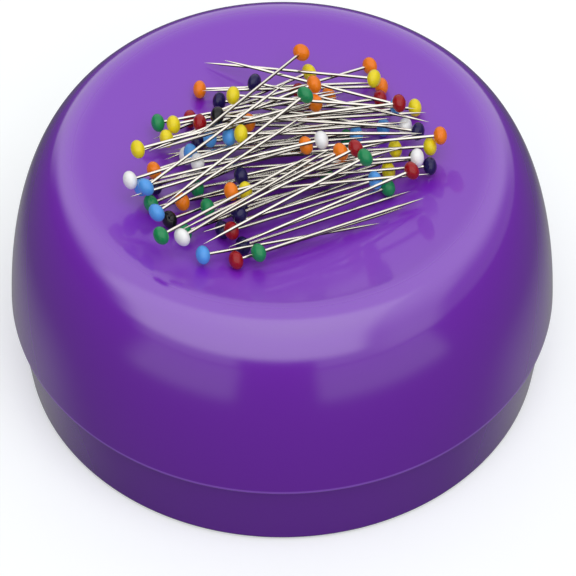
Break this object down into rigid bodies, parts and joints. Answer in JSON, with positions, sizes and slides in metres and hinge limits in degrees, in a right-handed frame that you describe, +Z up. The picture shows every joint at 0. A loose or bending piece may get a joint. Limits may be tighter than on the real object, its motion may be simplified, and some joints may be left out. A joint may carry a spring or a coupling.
{
  "type": "magnetic pin bowl",
  "caption": "Round two-piece moulded bowl with a shallow dished top, a ring magnet under the dish, and a heap of glass-head sewing pins that lift off.",
  "frame": {"origin": "middle of the foot, on the surface the bowl stands on", "axes": "+Z up along the bowl's axis, +X to the right and +Y away from the picture's viewer"},
  "size_m": [0.1078, 0.1078, 0.0645],
  "materials": {
    "purple_plastic": "gloss",
    "ferrite": "matte",
    "foam": "matte",
    "pad_rubber": "matte",
    "screw_steel": "satin",
    "pin_steel": "polished",
    "head_orange": "gloss",
    "head_red": "gloss",
    "head_yellow": "gloss",
    "head_blue": "gloss",
    "head_green": "gloss",
    "head_navy": "gloss",
    "head_white": "gloss",
    "head_black": "gloss"
  },
  "bodies": {
    "bowl": {"base_screws": "screw_steel", "base_tray": "purple_plastic", "bowl_shell": "purple_plastic", "foam_ring": "foam", "non_slip_pad": "pad_rubber", "ring_magnet": "ferrite"},
    "lower_pins": {"lower_pin_heads_black": "head_black", "lower_pin_heads_blue": "head_blue", "lower_pin_heads_green": "head_green", "lower_pin_heads_navy": "head_navy", "lower_pin_heads_orange": "head_orange", "lower_pin_heads_red": "head_red", "lower_pin_heads_white": "head_white", "lower_pin_heads_yellow": "head_yellow", "lower_pin_shafts": "pin_steel"},
    "upper_pins": {"upper_pin_heads_black": "head_black", "upper_pin_heads_blue": "head_blue", "upper_pin_heads_green": "head_green", "upper_pin_heads_navy": "head_navy", "upper_pin_heads_orange": "head_orange", "upper_pin_heads_red": "head_red", "upper_pin_heads_white": "head_white", "upper_pin_heads_yellow": "head_yellow", "upper_pin_shafts": "pin_steel"},
    "top_green_pin": {"top_green_pin_shaft": "pin_steel", "top_green_pin_head": "head_green"},
    "top_blue_pin": {"top_blue_pin_shaft": "pin_steel", "top_blue_pin_head": "head_blue"},
    "left_green_pin": {"left_green_pin_shaft": "pin_steel", "left_green_pin_head": "head_green"},
    "right_green_pin": {"right_green_pin_shaft": "pin_steel", "right_green_pin_head": "head_green"},
    "right_red_pin": {"right_red_pin_shaft": "pin_steel", "right_red_pin_head": "head_red"},
    "front_green_pin": {"front_green_pin_shaft": "pin_steel", "front_green_pin_head": "head_green"},
    "top_orange_pin": {"top_orange_pin_shaft": "pin_steel", "top_orange_pin_head": "head_orange"}
  },
  "joints": [
    {"name": "lower_pins_lift", "type": "slide", "parent": "bowl", "child": "lower_pins", "axis": [0, 0, 1], "range_m": [0, 0.06]},
    {"name": "upper_pins_lift", "type": "slide", "parent": "lower_pins", "child": "upper_pins", "axis": [0, 0, 1], "range_m": [0, 0.06]},
    {"name": "top_green_pin_lift", "type": "slide", "parent": "upper_pins", "child": "top_green_pin", "axis": [0, 0, 1], "range_m": [0, 0.06]},
    {"name": "top_blue_pin_lift", "type": "slide", "parent": "upper_pins", "child": "top_blue_pin", "axis": [0, 0, 1], "range_m": [0, 0.06]},
    {"name": "left_green_pin_lift", "type": "slide", "parent": "upper_pins", "child": "left_green_pin", "axis": [0, 0, 1], "range_m": [0, 0.06]},
    {"name": "right_green_pin_lift", "type": "slide", "parent": "upper_pins", "child": "right_green_pin", "axis": [0, 0, 1], "range_m": [0, 0.06]},
    {"name": "right_red_pin_lift", "type": "slide", "parent": "upper_pins", "child": "right_red_pin", "axis": [0, 0, 1], "range_m": [0, 0.06]},
    {"name": "front_green_pin_lift", "type": "slide", "parent": "upper_pins", "child": "front_green_pin", "axis": [0, 0, 1], "range_m": [0, 0.06]},
    {"name": "top_orange_pin_lift", "type": "slide", "parent": "upper_pins", "child": "top_orange_pin", "axis": [0, 0, 1], "range_m": [0, 0.06]}
  ]
}
